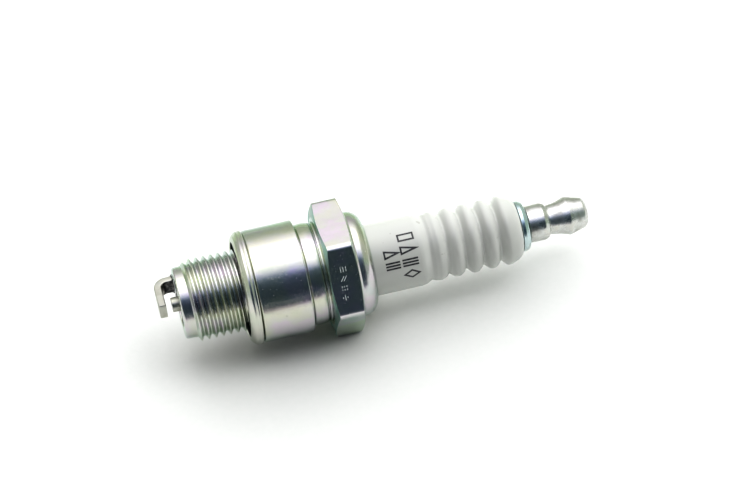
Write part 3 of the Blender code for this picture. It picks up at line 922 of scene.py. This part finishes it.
def make_weld(finish):
    """The lumpy collar of weld metal round the strap's root."""
    bm = bmesh.new()
    across, around = 48, 10
    half_width, half_thickness = STRAP_WIDTH / 2 + 0.04, STRAP_THICKNESS / 2 + 0.02

    def squared(value):
        """A cosine or sine pushed towards -1 and 1, which makes a circle nearly a rectangle."""
        return math.copysign(abs(value) ** 0.35, value)

    rings = []
    for i in range(across):
        turn = 2 * math.pi * i / across
        lump = 0.26 + 0.09 * math.sin(5 * turn + 0.7) + 0.05 * math.sin(11 * turn)
        reach_x = half_width * squared(math.cos(turn))
        reach_y = half_thickness * squared(math.sin(turn))
        ring = []
        for j in range(around):
            roll = 2 * math.pi * j / around
            grow = 1 + lump * math.cos(roll) / 1.4
            at = -REACH - 0.02 - 0.7 * lump * math.sin(roll)
            ring.append(bm.verts.new(Vector((reach_x * grow, STRAP_R + reach_y * grow, at)) * MM))
        rings.append(ring)
    skin(bm, rings, loop=True)
    piece = finish_piece(bm, "strap_weld", [finish], sharp_angle=80.0)
    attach(piece, "plug_body")


# ---------------------------------------------------------------- terminal

POST_R, POST_ROOT_R, POST_PITCH = 1.95, 1.6, 0.7
POST_LEAD_IN, POST_RUN_OUT = 0.35, 0.5
POST_CHAMFER = 0.25


def make_stud(finish):
    crown = station(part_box("insulator")[1].x)
    post_rear = station(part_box("terminal_stud")[1].x)
    flange_rear = crown + 1.45
    thread_front, thread_rear = flange_rear + 0.7, post_rear - POST_CHAMFER
    front = [
        (7.2, 0.0, 0.0), (7.2, 1.2, 0.1), (12.2, 1.2, 0.1), (12.5, 1.9, 0.1), (crown + 0.08, 1.9, 0.0),
        (crown + 0.12, 4.35, 0.12), (crown + 0.7, 4.34, 0.3), (flange_rear, 4.0, 0.55),
        (flange_rear, POST_ROOT_R, 0.1), (thread_front, POST_ROOT_R, 0.0),
    ]
    rear = [(thread_rear, POST_ROOT_R, 0), (post_rear, POST_ROOT_R - POST_CHAMFER, 0.1), (post_rear, 0, 0)]
    bm = bmesh.new()
    add_rows(bm, rows_of(with_supports(rounded(front)), SMALL_COLUMNS))
    add_thread(
        bm, POST_R, POST_ROOT_R, POST_ROOT_R, POST_PITCH, flange_rear + 2.0,
        thread_front, thread_rear, POST_LEAD_IN, POST_RUN_OUT, SMALL_COLUMNS,
    )
    add_rows(bm, rows_of(with_supports(rounded(rear)), SMALL_COLUMNS))
    piece = finish_piece(bm, "stud", [finish])
    stand_for(piece, "terminal_stud", "plug_body")


def make_nut(finish):
    low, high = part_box("terminal_nut")
    front, tip = station(low.x), station(high.x)
    base_r, head_r = 3.175, (high.z - low.z) / 2 / MM
    corners = [
        (front, 2.35, 0.1), (front, base_r, 0.12), (front + 2.75, base_r, 0.5),
        (front + 3.4, 2.86, 0.12), (front + 3.55, 2.62, 0.06), (front + 3.72, 2.44, 0.08),
        (front + 3.95, 2.54, 0.10), (front + 5.5, 2.76, 1.2), (front + 7.05, head_r + 0.05, 0.6),
        (front + 9.85, 2.60, 0.45), (tip - 0.05, 2.0, 0.35), (tip, 1.2, 0.3),
        (tip, 0.0, 0.0), (front + 9.2, 0.0, 0.0), (front + 8.6, 2.1, 0.05), (front + 0.2, 2.1, 0.05),
    ]
    nut = turned("cap_nut", corners, finish, columns=128, steps=8)
    stand_for(nut, "terminal_nut", "terminal_nut")


# ---------------------------------------------------------------- hidden pieces

def finish_hidden_nodes():
    """Carried-over CAD nodes inside the plug get their own procedural finishes."""
    steel = plain_metal("packing_steel", (0.46, 0.46, 0.47), (0.33, 0.33, 0.34), 0.45, 1800.0)
    finishes = {
        "copper_core": plain_metal("copper", (0.80, 0.42, 0.27), (0.58, 0.27, 0.16), 0.32, 1500.0),
        "glass_seal": powder("seal_glass", (0.36, 0.27, 0.21), (0.20, 0.15, 0.12), 2500.0, 0.5),
        "talc_filling": powder("talc", (0.86, 0.84, 0.80), (0.74, 0.72, 0.67), 3500.0, 0.9),
        "packing_ring_lower": steel,
        "packing_ring_upper": steel,
        "shoulder_packing": steel,
    }
    for node, finish in finishes.items():
        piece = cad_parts[node]
        piece.data.materials.clear()
        piece.data.materials.append(finish)


# ---------------------------------------------------------------- floor, light and camera

def resting_floor():
    """A wide pale floor that touches the hexagon's lower flat and the gasket's rim."""
    gasket_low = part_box("gasket")[0]
    hex_edge = Vector((SEAT_X + (HEX_FRONT + 0.1) * MM, 0.0, 0.0))
    tilt = math.atan2(gasket_low.z, hex_edge.x - gasket_low.x)
    mesh = bpy.data.meshes.new("floor")
    size = 3.0
    corners = [(-size, -size, 0), (size, -size, 0), (size, size, 0), (-size, size, 0)]
    mesh.from_pydata(corners, [], [(0, 1, 2, 3)])
    n = Nodes("floor_paper")
    grain = n.noise(n.place, scale=900.0, detail=4.0)
    n.bumps((grain, 0.00002))
    mesh.materials.append(n.set(
        Base_Color=n.ramp(grain, [(0.3, (0.865, 0.880, 0.862)), (0.7, (0.885, 0.895, 0.880))]),
        Roughness=0.8,
        Specular_IOR_Level=0.15,
    ))
    floor = linked_object("floor", mesh)
    floor.matrix_world = Matrix.Translation(hex_edge) @ Matrix.Rotation(-tilt, 4, "Y")
    return floor


def glossy_card(name, floor, near, far, half_angle, stops):
    """A card on the floor that only reflections see, with a colour that changes with distance.

    It stands for the dark room in front of the light tent, or for the tent's dim rear wall. It
    reaches from near to far along y, and fades out at its near edge and beyond half_angle.
    """
    side = math.copysign(1.0, far - near)
    n = Tree(bpy.data.materials.new(name))
    n.tree.nodes.clear()
    place = n.add("ShaderNodeTexCoord").outputs["Object"]
    x, y, _ = n.split(place)
    ramp_length, fade_length = 0.06, 0.015
    color = n.ramp(n.span(y, 0.0, 1.0, near, near + side * ramp_length), stops)
    slope = n.calc("ABSOLUTE", n.calc("DIVIDE", x, y))
    beyond_sides = n.step(slope, math.tan(half_angle) * 0.85, math.tan(half_angle) * 1.25)
    at_near_edge = n.span(y, 0.0, 1.0, near + side * fade_length, near)
    glow = n.add("ShaderNodeEmission")
    n.link(color, glow.inputs["Color"])
    clear = n.add("ShaderNodeBsdfTransparent")
    mix = n.add("ShaderNodeMixShader")
    n.link(n.calc("MAXIMUM", beyond_sides, at_near_edge), mix.inputs[0])
    n.link(glow.outputs["Emission"], mix.inputs[1])
    n.link(clear.outputs["BSDF"], mix.inputs[2])
    out = n.add("ShaderNodeOutputMaterial")
    n.link(mix.outputs["Shader"], out.inputs["Surface"])
    wide = abs(far) * 1.5
    mesh = bpy.data.meshes.new(name)
    corners = [(-wide, near, 0), (wide, near, 0), (wide, far, 0), (-wide, far, 0)]
    mesh.from_pydata(corners, [], [(0, 1, 2, 3) if side > 0 else (3, 2, 1, 0)])
    mesh.materials.append(bpy.data.materials[name])
    card = linked_object(name, mesh)
    card.matrix_world = floor.matrix_world @ Matrix.Translation((0, 0, 0.0004))
    card.visible_camera = False
    card.visible_diffuse = False
    card.visible_shadow = False
    card.visible_transmission = False
    card.visible_volume_scatter = False


SKY_FULL = 3.4                    # radiance of the soft box overhead
SKY_BANDS = [
    # (degrees over the top from the front horizon, radiance straight across the plug)
    (0, (0.092, 0.125, 0.145)), (12, (0.042, 0.060, 0.074)), (34, (0.050, 0.072, 0.090)),
    (50, (0.085, 0.120, 0.160)), (56, (0.21, 0.28, 0.40)), (61, (0.52, 0.55, 0.76)),
    (67, (0.85, 0.86, 1.05)), (75, (1.25, 1.26, 1.38)), (86, (1.65, 1.65, 1.68)),
    (100, (1.95, 1.95, 1.95)), (116, (1.9, 1.9, 1.9)), (126, (1.30, 1.27, 1.31)),
    (137, (0.98, 0.95, 0.99)), (148, (0.68, 0.70, 0.67)), (156, (0.49, 0.52, 0.46)),
    (180, (0.42, 0.46, 0.40)),
]
END_BANDS = [
    # the same, towards the plug's two ends, where the tent's dim walls are
    (0, (0.38, 0.46, 0.40)), (50, (0.40, 0.47, 0.40)), (75, (0.48, 0.51, 0.44)),
    (110, (0.58, 0.60, 0.52)), (150, (0.44, 0.49, 0.42)), (180, (0.34, 0.40, 0.33)),
]
# (degrees over the top, grey radiance) of the light that falls on dull surfaces: over the plug, and
# from beyond its two ends
FALL_OVER = [(60, 0.00), (80, 1.82), (100, 1.40), (120, 1.72), (140, 2.34), (160, 2.50), (180, 1.66)]
FALL_TERMINAL_END = [
    (45, 0.00), (60, 0.94), (72, 2.60), (80, 3.54), (100, 1.46),
    (120, 1.20), (140, 2.13), (160, 1.25), (180, 0.00),
]
FALL_FIRING_END = [(100, 0.00), (120, 0.26), (140, 0.78), (160, 1.25), (180, 0.68)]


def studio_world():
    """A light tent as a sky: a soft box overhead, dim walls, and a dark opening in front.

    Reflections see the tent itself, and dull surfaces get the light that it lets fall.
    """
    world = bpy.data.worlds.new("studio")
    bpy.context.scene.world = world
    n = Tree(world)
    n.tree.nodes.clear()
    place = n.add("ShaderNodeTexCoord").outputs["Generated"]
    x, y, z = n.split(place)
    over = n.calc("ARCTAN2", z, n.calc("MULTIPLY", y, -1.0))
    share = n.calc("DIVIDE", over, math.pi)
    terminal_way, firing_way = x, n.calc("MULTIPLY", x, -1.0)

    def bands(stops):
        return n.ramp(share, [
            (degrees / 180, tuple(part / SKY_FULL for part in color)) for degrees, color in stops
        ])

    def greys(stops):
        return bands([(degrees, (level, level, level)) for degrees, level in stops])

    overhead = n.step(over, math.radians(50), math.radians(70))
    beside_opening = n.calc("ADD", n.step(terminal_way, 0.54, 0.68), n.step(firing_way, 0.78, 0.92))
    beside_box = n.calc("ADD", n.step(terminal_way, 0.50, 0.72), n.step(firing_way, 0.68, 0.95))
    beside = n.tinted(beside_opening, overhead, beside_box)
    mirrored = n.tinted(bands(SKY_BANDS), beside, bands(END_BANDS))
    fallen = n.tinted(greys(FALL_OVER), n.step(terminal_way, 0.05, 0.60), greys(FALL_TERMINAL_END))
    fallen = n.tinted(fallen, n.step(firing_way, 0.05, 0.60), greys(FALL_FIRING_END))
    is_diffuse = n.add("ShaderNodeLightPath").outputs["Is Diffuse Ray"]
    back = n.add("ShaderNodeBackground")
    back.inputs["Strength"].default_value = SKY_FULL
    n.link(n.tinted(mirrored, is_diffuse, fallen), back.inputs["Color"])
    out = n.add("ShaderNodeOutputWorld")
    n.link(back.outputs["Background"], out.inputs["Surface"])


def place_camera():
    """The viewpoint: 44 degrees above the hexagon's flats, the plug's axis rising to the right."""
    elevation = math.radians(44)
    yaw = math.radians(6.8)            # the terminal end is the farther one
    slope = math.radians(12.72)        # of the axis in the picture
    focal = 136.2                      # mm on a 36 mm sensor
    distance = 474.6
    aim_station, aim_above = 21.10, 2.07
    axis = Vector((1, 0, 0))
    towards = Vector((0, -math.cos(elevation), math.sin(elevation)))
    down = Vector((0, -math.sin(elevation), -math.cos(elevation)))
    back = (towards * math.cos(yaw) - axis * math.sin(yaw)).normalized()
    level_right = (axis * math.cos(yaw) + towards * math.sin(yaw)).normalized()
    right = level_right * math.cos(slope) + down * math.sin(slope)
    up = back.cross(right)
    aim = Vector((SEAT_X, 0, AXIS_Z)) + axis * aim_station * MM - down * aim_above * MM
    camera_data = bpy.data.cameras.new("camera")
    camera_data.lens = focal
    camera_data.sensor_width = 36.0
    camera_data.clip_start = 0.01
    camera_data.clip_end = 20.0
    camera = linked_object("camera", camera_data)
    turn = Matrix((right, up, back)).transposed().to_4x4()
    camera.matrix_world = Matrix.Translation(aim + back * distance * MM) @ turn
    bpy.context.scene.camera = camera


# ---------------------------------------------------------------- the plug

steel = plated_steel()
alloy = nickel_alloy()
make_shell(steel, stamped_steel(), chamfer_steel())
make_gasket(gasket_steel(), fold_painted_shade())
make_insulator(glazed_ceramic())
make_print(printed_ink())
make_centre_electrode(alloy)
# dark alloy: heat tint on the weld, painted shade on the strap's inner face
weld_scorch_and_shade = scorch_and_painted_shade_alloy()
make_ground_electrode(alloy, weld_scorch_and_shade)
make_weld(weld_scorch_and_shade)
make_stud(zinc_steel())
make_nut(nut_nickel())
finish_hidden_nodes()

floor = resting_floor()
glossy_card("dark_opening", floor, -0.045, -1.0, math.radians(32), [
    (0.0, (1.0, 0.88, 0.95)), (0.36, (0.42, 0.36, 0.46)), (0.75, (0.075, 0.095, 0.115)),
])
glossy_card("dim_backdrop", floor, 0.05, 1.0, math.radians(60), [
    (0.0, (0.70, 0.76, 0.62)), (1.0, (0.54, 0.62, 0.47)),
])
studio_world()
place_camera()
bpy.context.scene.view_settings.view_transform = "Standard"
bpy.context.scene.view_settings.look = "High Contrast"
bpy.context.scene.view_settings.exposure = -0.10
